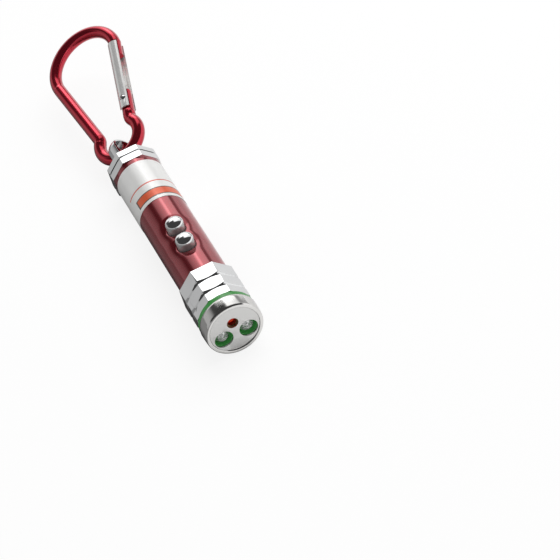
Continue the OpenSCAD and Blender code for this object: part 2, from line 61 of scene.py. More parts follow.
# Camera: place, axes and focal length found from the photograph.
CAMERA_PLACE = Vector((-70.764, -522.812, 448.02)) * MM
CAMERA_RIGHT = Vector((0.892, -0.383, -0.239))
CAMERA_UP = Vector((0.432, 0.575, 0.694))
CAMERA_LENS = 171.43
CAMERA_SENSOR = 36
CAMERA_NEAR = 0.01

# Studio that polished metal mirrors: grey by the angle around the barrel, in degrees from +X up through +Z.
STUDIO_BANDS = [
    (-180, 0.45), (-40, 0.46), (-12, 0.44), (14, 0.42), (19, 0.36), (23, 0.32), (31, 0.32), (36, 0.85),
    (47, 1.0), (61, 1.25), (77, 1.3), (81, 0.5), (85, 0.12), (92, 0.05), (117, 0.05), (131, 0.07),
    (145, 0.36), (159, 0.47), (180, 0.47),
]
# More light from well back, which the tube mirrors but the drawn-in side of the bezel doesn't.
STUDIO_GLOW = [
    (-180, 0.2), (-40, 0.25), (-12, 0.36), (-7, 0.5), (0, 0.6), (14, 0.6), (19, 0.15), (23, 0.0), (31, 0.0),
    (36, 0.9), (64, 1.0), (67, 2.4), (73, 2.4), (78, 1.4), (83, 1.5), (89, 1.45), (99, 1.1), (109, 0.7),
    (116, 0.08), (126, 0.0), (135, 0.02), (150, 0.03), (180, 0.06),
]
# Where each part of the studio starts, by how far a direction points back.
BANDS_FROM = (0.36, 0.5)
GLOW_FROM = (0.702, 0.722)
BACK_FROM = (0.86, 0.95)
STUDIO_BACK = 1.0
# In front of the bands it is dark overhead, with an edge that leans to one side, and pale low down.
ZENITH_FROM = (0.43, 0.46)
ZENITH_LEAN = -0.05
STUDIO_ZENITH = 0.05
FRONT_SIDES = (-0.15, 0.15)
STUDIO_FRONT_RIGHT = 1.0
STUDIO_FRONT_LEFT = 0.45

# Light on matt surfaces.
DAYLIGHT = 0.42
KEY_POWER = 6.5
KEY_SIZE = 1.2
KEY_PLACE = Vector((0.5, 0.3, 0.8))

# Floor: its colour, what polished metal mirrors of it, and what the camera sees of it.
FLOOR_HALF = 6.0
FLOOR_COLOUR = 0.93
FLOOR_ROUGH = 0.9
FLOOR_GRAIN = 40
FLOOR_TONE = (0.99, 1.01)
FLOOR_MIRRORED = 0.97
# Painted shade: metal mirrors the floor darker left of the barrel, darkest under and beside it.
FLOOR_SHADE_LEFT = 0.34
FLOOR_SHADE_NEAR = 0.14
# Painted glow: light of its own that the floor gives metal to mirror ahead of the bezel.
FLOOR_PAINTED_GLOW = 0.14
FLOOR_SEEN = 0.2
FLOOR_GLOW = 0.84
# Edges of its zones: distances right of the barrel's axis and, for the front one, behind the bezel's front.
NEAR_EDGE = (-20 * MM, -9 * MM)
RIGHT_EDGE = (-4 * MM, 5 * MM)
FRONT_EDGE = (4 * MM, -3 * MM)
FRONT_LEFT_EDGE = (-18 * MM, -11 * MM)

# Colours of the metals.
CHROME = (0.84, 0.845, 0.85)
NICKEL = (0.8, 0.79, 0.775)
FACE_NICKEL = (0.66, 0.655, 0.645)
# Painted shade: a darker nickel for the line in the corner of the bezel's front.
CORNER_SHADE_NICKEL = (0.56, 0.555, 0.55)
RUBBED_CHROME = ((0.5, 0.5, 0.5), (0.66, 0.66, 0.65))
STEEL = (0.62, 0.61, 0.6)
GATE_STEEL = (1.0, 0.995, 0.98)
SILVER = (0.95, 0.95, 0.94)
BRASS = (0.72, 0.5, 0.2)
# Painted shade: brass darkened for the shade in the laser's aperture, where the lens nut sits.
SHADED_BRASS = (0.16, 0.1, 0.05)
# Painted shade: near black for the shadow in the tail cap's groove.
GROOVE_SHADE = (0.03, 0.028, 0.026)

# Fineness of surface marks, in features per metre, and turning lines, in radians per metre.
SMEARS = 240
RUBBING = 300
SCRATCHES = 1900
POLISH_GRAIN = 2600
LACQUER_DEPTH = 160
LACQUER_PEEL = 420
PLASTIC_CLOUD = 300
RESIN_FLOW = 500
EVEN_BRUSHING = (1500, 1500, 1500)
LONG_BRUSHING = (1500, 110, 1500)
BRASS_TURNING = 30000.0
FACE_TURNING = 52000.0
# What turning lines and lacquer peel count for beside the grain that they are added to.
TURNING_SHARE = 0.5
PEEL_SHARE = 2.0
# Range of roughness that marks give a surface, as shares of its roughness.
POLISHED_WEAR = (0.7, 1.9)
BRUSHED_WEAR = (0.75, 1.3)
LACQUER_WEAR = (0.7, 1.4)
PLASTIC_WEAR = (0.8, 1.2)
NICKEL_WEAR = (0.85, 1.15)
BUTTON_WEAR = (0.8, 1.2)
# How dark marks make a surface, as a share of its colour.
POLISHED_DARK = 0.86
BRUSHED_DARK = 0.88
NICKEL_DARK = 0.88
RESIN_DARK = 0.94
# Roughness of clear resin along its flow lines, and how solid its shadow is.
RESIN_ROUGH = (0.0, 0.06)
RESIN_SHADOW = 0.1
# Height of surface marks.
POLISH_RELIEF = 1.2 * MICRON
BRUSH_RELIEF = 3 * MICRON
LACQUER_RELIEF = 1.5 * MICRON
PLASTIC_RELIEF = 4 * MICRON
FILM_RELIEF = 0.4 * MICRON

# Lathe groove of the tail cap, counted back from the end of the tube, and the painted shade in it.
CAP_GROOVE = 2.65 * MM
GROOVE_SHADE_HALF = 0.25 * MM
GROOVE_SOFT = 0.06 * MM

# Label: a framed stripe and a thin line, in mm behind its front edge and radians around from the top.
STRIPE = (1.15, 4.35)
STRIPE_TURN = (-0.85, 2.2)
STRIPE_FRAME = 0.35
STRIPE_FRAME_TURN = 0.06
THIN_LINE = (7.0, 7.45)
THIN_LINE_TURN = (-1.1, 2.2)
PRINT_SOFT = 0.05
PRINT_SOFT_TURN = 0.004
FILM_WHITE = ((0.85, 0.85, 0.835), (0.92, 0.92, 0.905))
STRIPE_INK = ((0.72, 0.1, 0.035), (0.82, 0.14, 0.05))
FRAME_INK = (0.09, 0.075, 0.06)
LINE_INK = (0.7, 0.14, 0.1)
FILM_CLOUD = 160
INK_CLOUD = 900
FILM_GLOSS = 1400
FILM_ROUGH = (0.28, 0.33)
FILM_WAVES = 500

# Looks of the bezel's front: the face reaches out to an edge, with a line of painted shade in the corner
# beside it.
FRONT_DEPTH = (0.9 * MM, 1.1 * MM)
FACE_EDGE = (6.38 * MM, 6.44 * MM)
CORNER_SHADE_LINE = (6.42 * MM, 6.56 * MM)
CORNER_SHADE_SOFT = 0.03 * MM
RIM_ROUGH = 0.09
FACE_ROUGH = 0.26

# Looks of the buttons: what faces up counts as crown, the rest as side.
CROWN_FACING = (0.12, 0.4)
CROWN_ROUGH = 0.03
SIDE_ROUGH = 0.18
SIDE_METAL = 0.65


def link(tree, a, b):
    tree.links.new(a, b)


def maths(tree, kind, a, b=None, c=None, clamp=False):
    n = tree.nodes.new("ShaderNodeMath")
    n.operation = kind
    n.use_clamp = clamp
    for socket, value in zip(n.inputs, (a, b, c)):
        if value is None:
            continue
        if isinstance(value, (int, float)):
            socket.default_value = value
        else:
            link(tree, value, socket)
    return n.outputs[0]


def step(tree, value, lo, hi):
    """0 below lo, 1 above hi, smooth between them."""
    n = tree.nodes.new("ShaderNodeMapRange")
    n.interpolation_type = "SMOOTHSTEP"
    link(tree, value, n.inputs["Value"])
    n.inputs["From Min"].default_value = lo
    n.inputs["From Max"].default_value = hi
    return n.outputs["Result"]


def between(tree, value, lo, hi, soft):
    """1 between lo and hi, 0 outside, with soft edges."""
    up = step(tree, value, lo - soft, lo + soft)
    down = step(tree, value, hi - soft, hi + soft)
    return maths(tree, "SUBTRACT", up, down, clamp=True)


def spread(tree, value, lo, hi):
    """Maps 0 to 1 onto lo to hi."""
    return maths(tree, "MULTIPLY_ADD", value, hi - lo, lo)


def mix(tree, fac, a, b):
    n = tree.nodes.new("ShaderNodeMix")
    n.data_type = "RGBA"
    for socket, value in ((n.inputs[0], fac), (n.inputs[6], a), (n.inputs[7], b)):
        if isinstance(value, (tuple, list)):
            socket.default_value = (*value, 1)
        elif isinstance(value, (int, float)):
            socket.default_value = value
        else:
            link(tree, value, socket)
    return n.outputs[2]


def ramp(tree, fac, stops):
    """Grey value by an angle in degrees, given as 0 to 1 for -180 to 180."""
    n = tree.nodes.new("ShaderNodeValToRGB")
    while len(n.color_ramp.elements) < len(stops):
        n.color_ramp.elements.new(1.0)
    for element, (at, value) in zip(n.color_ramp.elements, stops):
        element.position = (at + 180) / 360
        element.color = (value, value, value, 1)
    link(tree, fac, n.inputs[0])
    return n.outputs[0]


def place_of(tree):
    """Place on the object, in the shared frame."""
    return tree.nodes.new("ShaderNodeTexCoord").outputs["Object"]


def parts_of(tree, vector):
    n = tree.nodes.new("ShaderNodeSeparateXYZ")
    link(tree, vector, n.inputs[0])
    return n.outputs


def stretched(tree, scale):
    n = tree.nodes.new("ShaderNodeMapping")
    link(tree, place_of(tree), n.inputs["Vector"])
    n.inputs["Scale"].default_value = scale
    return n.outputs[0]


def noise(tree, scale, detail, vector=None):
    n = tree.nodes.new("ShaderNodeTexNoise")
    link(tree, vector or place_of(tree), n.inputs["Vector"])
    n.inputs["Scale"].default_value = scale
    n.inputs["Detail"].default_value = detail
    return n.outputs[0]


def around_barrel(tree):
    """Place along the barrel, distance from its axis and angle around it, 0 at the top."""
    places = parts_of(tree, place_of(tree))
    x = maths(tree, "SUBTRACT", places[0], AXIS.x)
    z = maths(tree, "SUBTRACT", places[2], AXIS.z)
    radius = maths(tree, "SQRT", maths(tree, "ADD", maths(tree, "POWER", x, 2), maths(tree, "POWER", z, 2)))
    return places[1], radius, maths(tree, "ARCTAN2", x, z)


def turning_lines(tree, fineness):
    """Fine lines around the barrel, along its sides and across its faces."""
    along, radius, _ = around_barrel(tree)
    return maths(tree, "SINE", maths(tree, "MULTIPLY", maths(tree, "ADD", along, radius), fineness))


def bump(tree, height, distance):
    n = tree.nodes.new("ShaderNodeBump")
    link(tree, height, n.inputs["Height"])
    n.inputs["Distance"].default_value = distance
    n.inputs["Strength"].default_value = 1.0
    return n.outputs[0]


def shade(colour, factor):
    return tuple(c * factor for c in colour)


def worn(tree, marks, rough, wear):
    """Roughness that follows marks from the least to the most wear."""
    return spread(tree, marks, rough * wear[0], rough * wear[1])


def material(name, **values):
    """A new material; values go straight onto the shader's own sockets."""
    m = bpy.data.materials.new(name)
    m.use_nodes = True
    shader = m.node_tree.nodes["Principled BSDF"]
    for key, value in values.items():
        socket = shader.inputs[key.replace("_", " ")]
        socket.default_value = (*value, 1) if isinstance(value, tuple) else value
    return m, m.node_tree, shader


def polished(name, colour, rough, turned=0.0, groove=None):
    """Polished metal with handling marks, turning lines where turned is above 0, and painted shade in a
    groove.
    """
    m, tree, shader = material(name, Metallic=1.0)
    smears = noise(tree, SMEARS, 4)
    tint = mix(tree, smears, colour, shade(colour, POLISHED_DARK))
    if groove is not None:
        along, _, _ = around_barrel(tree)
        # Painted shade: a band around the groove is darkened as if in shadow.
        groove_shade = between(tree, along, groove - GROOVE_SHADE_HALF, groove + GROOVE_SHADE_HALF, GROOVE_SOFT)
        tint = mix(tree, groove_shade, tint, GROOVE_SHADE)
    link(tree, tint, shader.inputs["Base Color"])
    marks = maths(tree, "MULTIPLY", smears, noise(tree, SCRATCHES, 3))
    link(tree, worn(tree, marks, rough, POLISHED_WEAR), shader.inputs["Roughness"])
    height = noise(tree, POLISH_GRAIN, 2)
    if turned:
        height = maths(tree, "MULTIPLY_ADD", turning_lines(tree, turned), TURNING_SHARE, height)
    link(tree, bump(tree, height, POLISH_RELIEF), shader.inputs["Normal"])
    return m


def brushed(name, colour, rough, scale, metal):
    """Satin metal with fine lines along one direction, set by the scale of its noise."""
    m, tree, shader = material(name, Metallic=metal)
    lines = noise(tree, 1.0, 3, stretched(tree, scale))
    link(tree, mix(tree, lines, shade(colour, BRUSHED_DARK), colour), shader.inputs["Base Color"])
    link(tree, worn(tree, lines, rough, BRUSHED_WEAR), shader.inputs["Roughness"])
    link(tree, bump(tree, lines, BRUSH_RELIEF), shader.inputs["Normal"])
    return m


def lacquered(name, deep, bright, rough, flake, **values):
    """Coloured metal under clear lacquer, with fine flake and a soft change of depth."""
    m, tree, shader = material(name, Coat_Roughness=0.04, **values)
    link(tree, mix(tree, noise(tree, LACQUER_DEPTH, 3), deep, bright), shader.inputs["Base Color"])
    grain = noise(tree, flake, 2)
    link(tree, worn(tree, grain, rough, LACQUER_WEAR), shader.inputs["Roughness"])
    peel = maths(tree, "MULTIPLY_ADD", noise(tree, LACQUER_PEEL, 2), PEEL_SHARE, grain)
    link(tree, bump(tree, peel, LACQUER_RELIEF), shader.inputs["Normal"])
    return m


def plastic(name, dark, pale, rough, grain, **values):
    """Moulded plastic with a slightly cloudy colour and a fine grain."""
    m, tree, shader = material(name, **values)
    link(tree, mix(tree, noise(tree, PLASTIC_CLOUD, 4), dark, pale), shader.inputs["Base Color"])
    link(tree, worn(tree, noise(tree, grain, 2), rough, PLASTIC_WEAR), shader.inputs["Roughness"])
    link(tree, bump(tree, noise(tree, grain, 3), PLASTIC_RELIEF), shader.inputs["Normal"])
    return m


def clear(name, colour, **values):
    """Clear moulded resin or glass with faint flow lines, which lets most light through its shadow."""
    m, tree, shader = material(name, Transmission_Weight=1.0, IOR=1.5, **values)
    flow = noise(tree, RESIN_FLOW, 2)
    link(tree, mix(tree, flow, colour, shade(colour, RESIN_DARK)), shader.inputs["Base Color"])
    link(tree, spread(tree, flow, *RESIN_ROUGH), shader.inputs["Roughness"])
    path = tree.nodes.new("ShaderNodeLightPath")
    link(tree, spread(tree, path.outputs["Is Shadow Ray"], 1.0, RESIN_SHADOW), shader.inputs["Alpha"])
    return m


def label_film():
    """Silver-white film with a plain framed stripe and one thin line, no lettering."""
    m, tree, shader = material("label_film", Coat_Weight=0.25, Coat_Roughness=0.15, Metallic=0.15)
    along, _, turn = around_barrel(tree)
    back = maths(tree, "MULTIPLY", maths(tree, "SUBTRACT", along, LABEL_Y), 1 / MM)

    def printed(place, around, inset=0.0, inset_turn=0.0):
        rows = between(tree, back, place[0] + inset, place[1] - inset, PRINT_SOFT)
        columns = between(tree, turn, around[0] + inset_turn, around[1] - inset_turn, PRINT_SOFT_TURN)
        return maths(tree, "MULTIPLY", rows, columns)

    colour = mix(tree, noise(tree, FILM_CLOUD, 2), *FILM_WHITE)
    colour = mix(tree, printed(STRIPE, STRIPE_TURN), colour, FRAME_INK)
    ink = mix(tree, noise(tree, INK_CLOUD, 2), *STRIPE_INK)
    colour = mix(tree, printed(STRIPE, STRIPE_TURN, STRIPE_FRAME, STRIPE_FRAME_TURN), colour, ink)
    colour = mix(tree, printed(THIN_LINE, THIN_LINE_TURN), colour, LINE_INK)
    link(tree, colour, shader.inputs["Base Color"])
    link(tree, spread(tree, noise(tree, FILM_GLOSS, 2), *FILM_ROUGH), shader.inputs["Roughness"])
    link(tree, bump(tree, noise(tree, FILM_WAVES, 2), FILM_RELIEF), shader.inputs["Normal"])
    return m


def bezel_nickel():
    """Nickel, turned satin on the face and polished on the rim, with a line of painted shade between them.
    """
    m, tree, shader = material("nickel_turned", Metallic=1.0)
    along, radius, _ = around_barrel(tree)
    behind = step(tree, along, FRONT_Y + FRONT_DEPTH[0], FRONT_Y + FRONT_DEPTH[1])
    front = maths(tree, "SUBTRACT", 1.0, behind)
    face = maths(tree, "SUBTRACT", front, step(tree, radius, *FACE_EDGE), clamp=True)
    # Painted shade: a darker line where the face meets the rim.
    corner = maths(tree, "MULTIPLY", between(tree, radius, *CORNER_SHADE_LINE, CORNER_SHADE_SOFT), front)
    smears = noise(tree, SMEARS, 4)
    metal = mix(tree, smears, NICKEL, shade(NICKEL, NICKEL_DARK))
    metal = mix(tree, face, metal, FACE_NICKEL)
    metal = mix(tree, corner, metal, CORNER_SHADE_NICKEL)
    link(tree, metal, shader.inputs["Base Color"])
    rough = spread(tree, face, RIM_ROUGH, FACE_ROUGH)
    rough = maths(tree, "MULTIPLY", rough, spread(tree, smears, *NICKEL_WEAR))
    link(tree, rough, shader.inputs["Roughness"])
    lines = turning_lines(tree, FACE_TURNING)
    height = maths(tree, "MULTIPLY_ADD", lines, TURNING_SHARE, noise(tree, POLISH_GRAIN, 2))
    link(tree, bump(tree, height, POLISH_RELIEF), shader.inputs["Normal"])
    return m


def button_chrome():
    """Chrome that is polished on the crown and rubbed on the upright side."""
    m, tree, shader = material("chrome_button")
    facing = parts_of(tree, tree.nodes.new("ShaderNodeNewGeometry").outputs["Normal"])
    crown = step(tree, maths(tree, "ABSOLUTE", facing[2]), *CROWN_FACING)
    smears = noise(tree, RUBBING, 3)
    link(tree, mix(tree, crown, mix(tree, smears, *RUBBED_CHROME), CHROME), shader.inputs["Base Color"])
    link(tree, spread(tree, crown, SIDE_METAL, 1.0), shader.inputs["Metallic"])
    rough = spread(tree, crown, SIDE_ROUGH, CROWN_ROUGH)
    rough = maths(tree, "MULTIPLY", rough, spread(tree, smears, *BUTTON_WEAR))
    link(tree, rough, shader.inputs["Roughness"])
    link(tree, bump(tree, noise(tree, POLISH_GRAIN, 2), POLISH_RELIEF), shader.inputs["Normal"])
    return m


chrome = polished("chrome_polished", CHROME, rough=0.05)
cap_chrome = polished("chrome_grooved", CHROME, rough=0.05, groove=tube_hi.y + CAP_GROOVE)
bezel_metal = bezel_nickel()
button_metal = button_chrome()
steel = polished("steel_plain", STEEL, rough=0.2)
brass = polished("brass_turned", BRASS, rough=0.18, turned=BRASS_TURNING)
# The lens nut's brass is painted dark, as shade in the aperture.
shaded_brass = polished("brass_painted_shade", SHADED_BRASS, rough=0.3, turned=BRASS_TURNING)
mirror = brushed("reflector_silver", SILVER, rough=0.22, scale=EVEN_BRUSHING, metal=0.6)
gate_metal = brushed("steel_satin", GATE_STEEL, rough=0.13, scale=LONG_BRUSHING, metal=0.5)
red_tube = lacquered(
    "red_lacquer", deep=(0.25, 0.012, 0.02), bright=(0.29, 0.018, 0.028), rough=0.13, flake=5200,
    Metallic=0.7, Coat_Weight=0.9, Coat_IOR=1.62, Specular_Tint=(1.0, 0.45, 0.48),
)
red_rod = lacquered(
    "red_anodised", deep=(0.55, 0.012, 0.035), bright=(0.62, 0.022, 0.05), rough=0.14, flake=4200,
    Metallic=0.9, Coat_Weight=0.7,
)
# The green plastic's faint emission is a painted glow, for light coming through it.
green = plastic(
    "green_translucent", dark=(0.04, 0.25, 0.05), pale=(0.07, 0.35, 0.08), rough=0.22, grain=1500,
    Transmission_Weight=0.25, Emission_Color=(0.1, 0.5, 0.12), Emission_Strength=0.1,
)
board_green = plastic(
    "board_laminate", dark=(0.02, 0.13, 0.05), pale=(0.03, 0.18, 0.07), rough=0.4, grain=2500
)
black = plastic(
    "black_moulded", dark=(0.012, 0.012, 0.013), pale=(0.022, 0.022, 0.024), rough=0.45, grain=2200
)
resin = clear("clear_resin", (0.95, 0.97, 0.97))
lens_glass = clear(
    "lens_glass", (0.95, 0.7, 0.68), Emission_Color=(1.0, 0.03, 0.02), Emission_Strength=0.12
)
film = label_film()

LOOKS = {
    "front_bezel": bezel_metal, "head_collar": chrome, "tail_cap": cap_chrome,
    "button_front": button_metal, "button_rear": button_metal,
    "barrel_tube": red_tube, "label_wrap": film, "led_carrier": green,
    "led_left": resin, "led_right": resin, "laser_lens": lens_glass,
    "laser_housing": brass, "lens_nut": shaded_brass, "contact_stud": brass,
    "laser_diode": steel, "plunger_front": steel, "plunger_rear": steel,
    "cell_front": steel, "cell_middle": steel, "cell_rear": steel,
    "battery_spring": steel, "gate_spring": steel, "gate_rivet": button_metal,
    "carabiner_gate": gate_metal, "carabiner_hook": red_rod,
    "circuit_board": board_green, "switch_front": black, "switch_rear": black, "contact_disc": black,
}
BODY_OF = {n: b for b, nodes in frame["record"]["behaviour"]["bodies"].items() for n in nodes}
for name, look in LOOKS.items():
    slots = frame["nodes"][name].data.materials
    slots.clear()
    slots.append(look)


def add_piece(name, mesh, look, body):
    piece = bpy.data.objects.new(name, mesh)
    bpy.context.scene.collection.objects.link(piece)
    mesh.materials.clear()
    mesh.materials.append(look)
    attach(piece, body)
    return piece


def spun(bm, profile, place, axis, turns):
    """Adds a turned shape from (radius, height) points; one that ends where it starts is a closed ring."""
    spin = axis.to_track_quat("Z", "Y").to_matrix()
    rings = []
    for r, h in profile:
        if rings and (r, h) == profile[0]:
            rings.append(rings[0])
        elif r <= 0:
            rings.append([bm.verts.new(place + spin @ Vector((0, 0, h)))])
        else:
            turn = [2 * math.pi * i / turns for i in range(turns)]
            rings.append([
                bm.verts.new(place + spin @ Vector((r * math.cos(a), r * math.sin(a), h))) for a in turn
            ])
    faces = []
    for low, high in zip(rings, rings[1:]):
        for i in range(turns):
            a, b = low[i % len(low)], low[(i + 1) % len(low)]
            c, d = high[(i + 1) % len(high)], high[i % len(high)]
            corners = [v for k, v in enumerate((a, b, c, d)) if v not in (a, b, c, d)[:k]]
            if len(corners) > 2:
                faces.append(bm.faces.new(corners))
    bmesh.ops.recalc_face_normals(bm, faces=faces)


def smooth_mesh(bm, name, sharp):
    """A mesh of a drawn shape, shaded smooth but for edges above the sharp angle, in degrees."""
    for f in bm.faces:
        f.smooth = True
    mesh = bpy.data.meshes.new(name)
    bm.to_mesh(mesh)
    bm.free()
    mesh.set_sharp_from_angle(angle=math.radians(sharp))
    return mesh


LATHE_SHARP = 35


def lathe(name, profile, place, axis, look, body, turns):
    """A turned piece from (radius, height) points, closed into a solid."""
    bm = bmesh.new()
    spun(bm, profile, place, axis, turns)
    return add_piece(name, smooth_mesh(bm, name, LATHE_SHARP), look, body)


# Vertices of a solid this close together are one.
SAME_PLACE = 0.1 * MICRON
# Faces that meet at less than the first angle are joined, and edges above the second are eased.
FLAT_BELOW = math.radians(0.6)
EASED_ABOVE = math.radians(28)
# Widths that edges are eased by.
BEZEL_EASING = 0.07 * MM
TURNED_EASING = 0.05 * MM
CARABINER_EASING = 0.06 * MM
LAMP_EASING = 0.03 * MM


def eased(node, width, back_of=None, crown=None, sharp=50):
    """Stands for a CAD node: the same shape with its sharp edges eased, all or only those back of a place.

    A crown function can change the mesh further. Edges above the sharp angle are shaded sharp."""
    mesh = frame["nodes"][node].data.copy()
    mesh.name = node + "_eased"
    bm = bmesh.new()
    bm.from_mesh(mesh)
    bmesh.ops.remove_doubles(bm, verts=bm.verts, dist=SAME_PLACE)
    bmesh.ops.dissolve_limit(bm, angle_limit=FLAT_BELOW, verts=bm.verts, edges=bm.edges)
    edges = [
        e for e in bm.edges
        if len(e.link_faces) == 2 and e.calc_face_angle() > EASED_ABOVE
        and (back_of is None or min(v.co.y for v in e.verts) > back_of)
    ]
    bmesh.ops.bevel(
        bm, geom=edges, offset=width, offset_type="OFFSET", segments=2, profile=0.5,
        affect="EDGES", clamp_overlap=True,
    )
    if crown:
        crown(bm)
    bmesh.ops.triangulate(bm, faces=[f for f in bm.faces if len(f.verts) > 4])
    for f in bm.faces:
        f.smooth = True
    bm.to_mesh(mesh)
    bm.free()
    if "custom_normal" in mesh.attributes:
        mesh.attributes.remove(mesh.attributes["custom_normal"])
    mesh.set_sharp_from_angle(angle=math.radians(sharp))
    piece = add_piece(node + "_eased", mesh, LOOKS[node], BODY_OF[node])
    piece.modifiers.new("normals", "WEIGHTED_NORMAL").keep_sharp = True
    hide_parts(node)


def off_axis(v):
    """Distance of a vertex from the barrel's axis."""
    return math.hypot(v.co.x - AXIS.x, v.co.z - AXIS.z)


# Outer ring of the bezel: a bead for a rim, a line at its foot, and a side drawn in towards the front.
RING_IN = 6.38 * MM
RING_OUT = 7.6 * MM
RING_START = 1.05 * MM
RING_REAR = 4.16 * MM
RING_EDGE = 0.1 * MM
RING_TURNS = 160
BEAD_FOOT = 0.54 * MM
BEAD_IN = 6.43 * MM
BEAD_OUT = 7.4 * MM
BEAD_DEPTH_IN = 0.26 * MM
BEAD_DEPTH_OUT = 0.34 * MM
CREST_IN = 6.75 * MM
CREST_OUT = 6.95 * MM
ARC_STEPS = 4
SIDE_FROM = 0.5 * MM
SIDE_TO = 3.5 * MM
SIDE_DRAWN = 0.13 * MM
SIDE_BEND = 2.1
SIDE_STEPS = 8
# What the ring replaces lies outside this radius.
RING_CUT = 6.5 * MM
# The face is set forward, and its aperture opened by a share of its radius.
FACE_FORWARD = 0.2 * MM
APERTURE_REACH = 1.6 * MM
APERTURE_OPENED = 0.1
# The green ring moves forward where it is outside this radius and ahead of this place behind the front.
GREEN_RING_R = 7.1 * MM
GREEN_RING_FRONT = 4.9 * MM
GREEN_RING_FORWARD = 0.34 * MM


def bezel_ring():
    """Profile of the bezel's ring: radius and place behind the front."""
    quarter = [math.pi / 2 * i / ARC_STEPS for i in range(ARC_STEPS + 1)]
    points = [(RING_IN, RING_START), (RING_IN, BEAD_FOOT)]
    for a in quarter:
        points.append((CREST_IN - (CREST_IN - BEAD_IN) * math.cos(a), BEAD_DEPTH_IN * (1 - math.sin(a))))
    for a in quarter:
        points.append((CREST_OUT + (BEAD_OUT - CREST_OUT) * math.sin(a), BEAD_DEPTH_OUT * (1 - math.cos(a))))
    for i in range(SIDE_STEPS + 1):
        t = 1 - i / SIDE_STEPS
        drawn = SIDE_DRAWN * math.expm1(SIDE_BEND * t) / math.expm1(SIDE_BEND)
        points.append((RING_OUT - drawn, SIDE_TO + (SIDE_FROM - SIDE_TO) * t))
    points += [(RING_OUT, RING_REAR - RING_EDGE), (RING_OUT - RING_EDGE, RING_REAR), (RING_IN, RING_REAR)]
    return points + points[:1]


def ring_bezel(bm):
    """Sets the bezel's face forward, opens its aperture and gives it a new ring around the face."""
    outer = [f for f in bm.faces if max(off_axis(v) for v in f.verts) > RING_CUT]
    bmesh.ops.delete(bm, geom=outer, context="FACES")
    lens_lo, lens_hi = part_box("laser_lens")
    middle = (lens_lo + lens_hi) / 2
    for v in bm.verts:
        if v.co.y < FRONT_Y + FRONT_DEPTH[0]:
            v.co.y -= FACE_FORWARD
        if math.hypot(v.co.x - middle.x, v.co.z - middle.z) < APERTURE_REACH:
            v.co.x += (v.co.x - middle.x) * APERTURE_OPENED
            v.co.z += (v.co.z - middle.z) * APERTURE_OPENED
    spun(bm, bezel_ring(), Vector((AXIS.x, FRONT_Y, AXIS.z)), BACK, RING_TURNS)


def widen_ring(bm):
    """Brings the front of the green ring forward to the bezel's ring, which is shorter than the solid's."""
    for v in bm.verts:
        if off_axis(v) > GREEN_RING_R and v.co.y < FRONT_Y + GREEN_RING_FRONT:
            v.co.y -= GREEN_RING_FORWARD


# Lathe grooves of the head, counted forward from its rear.
HEAD_GROOVES = (4.7 * MM, 9.0 * MM)
# The head's flats stand out from the tube by a step; its corners follow from them.
HEAD_STEP = 0.6 * MM
HEAD_FLAT = TUBE_R + HEAD_STEP
HEAD_CORNER = HEAD_FLAT / math.cos(math.pi / 8)
GROOVE_REACH = 0.8 * MM
GROOVE_OPENED = 0.45


def open_grooves(bm):
    """Opens the head's grooves, by most at the middle of the flats and not at all at the corners."""
    for v in bm.verts:
        out = min(max((off_axis(v) - HEAD_FLAT) / (HEAD_CORNER - HEAD_FLAT), 0), 1)
        for forward in HEAD_GROOVES:
            middle = HEAD_REAR - forward
            off = v.co.y - middle
            if abs(off) < GROOVE_REACH and off_axis(v) > HEAD_FLAT - GROOVE_REACH:
                v.co.y = middle + off * (1 + GROOVE_OPENED * (1 - out))


# The tail cap's plug and thread, ahead of its shoulder at the tube's end, keep their edges.
SHOULDER_MARGIN = 0.1 * MM
OCTAGON_SHARP = 12

eased("front_bezel", BEZEL_EASING, crown=ring_bezel)
eased("led_carrier", TURNED_EASING, crown=widen_ring)
eased("head_collar", TURNED_EASING, crown=open_grooves, sharp=OCTAGON_SHARP)
eased("tail_cap", TURNED_EASING, back_of=tube_hi.y - SHOULDER_MARGIN, sharp=OCTAGON_SHARP)
eased("carabiner_gate", CARABINER_EASING)
eased("carabiner_hook", CARABINER_EASING)

# Lamps: the round nose is drawn forward. A reflector and a post stand inside, as (radius, height) in mm.
LAMP_FORWARD = 0.7 * MM
LAMP_NOSE = 2.4 * MM
LAMP_TURNS = 12
CUP = [
    (0, 1.3), (0.4, 0.9), (0.85, 1.2), (1.3, 0.95), (1.75, 1.35), (1.85, 1.7), (1.8, 2.4), (1.2, 3.6),
    (0.4, 6.6), (0, 6.6),
]
CUP_SHIFT = Vector((0.1, 0, -0.1)) * MM
POST = [(0, 2.1), (0.25, 2.15), (0.38, 2.4), (0.38, 3.9), (0.22, 6.6), (0, 6.6)]
POST_SHIFT = Vector((1.8, 0, 0.1)) * MM


def draw_lamp(bm):
    """Draws the round nose of a lamp forward in its hole."""
    tip = min(v.co.y for v in bm.verts)
    for v in bm.verts:
        if v.co.y < tip + LAMP_NOSE:
            v.co.y -= LAMP_FORWARD


def lamp(side):
    """Lamp drawn forward, with a reflector and a bond post inside it."""
    eased("led_" + side, LAMP_EASING, crown=draw_lamp)
    lo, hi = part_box("led_" + side)
    middle = Vector(((lo.x + hi.x) / 2, lo.y - LAMP_FORWARD, (lo.z + hi.z) / 2))
    for name, points, shift in (("lamp_cup_", CUP, CUP_SHIFT), ("lamp_post_", POST, POST_SHIFT)):
        profile = [(r * MM, h * MM) for r, h in points]
        lathe(name + side, profile, middle + shift, BACK, mirror, "barrel", LAMP_TURNS)


lamp("left")
lamp("right")

# Tube: dished around the button holes, which have rounded edges.
TUBE_WALL = 0.55 * MM
TUBE_SHARP = 50
HOLE_R = 2.65 * MM
HOLE_LIP = 0.22 * MM
LIP_TURNS = [math.radians(a) for a in (90, 60, 30)]
DISH_R = 5.2 * MM
DISH_DEPTH = 0.34 * MM
DISH_DEPTH_INSIDE = 0.28 * MM
DISH_CURVE = 1.7
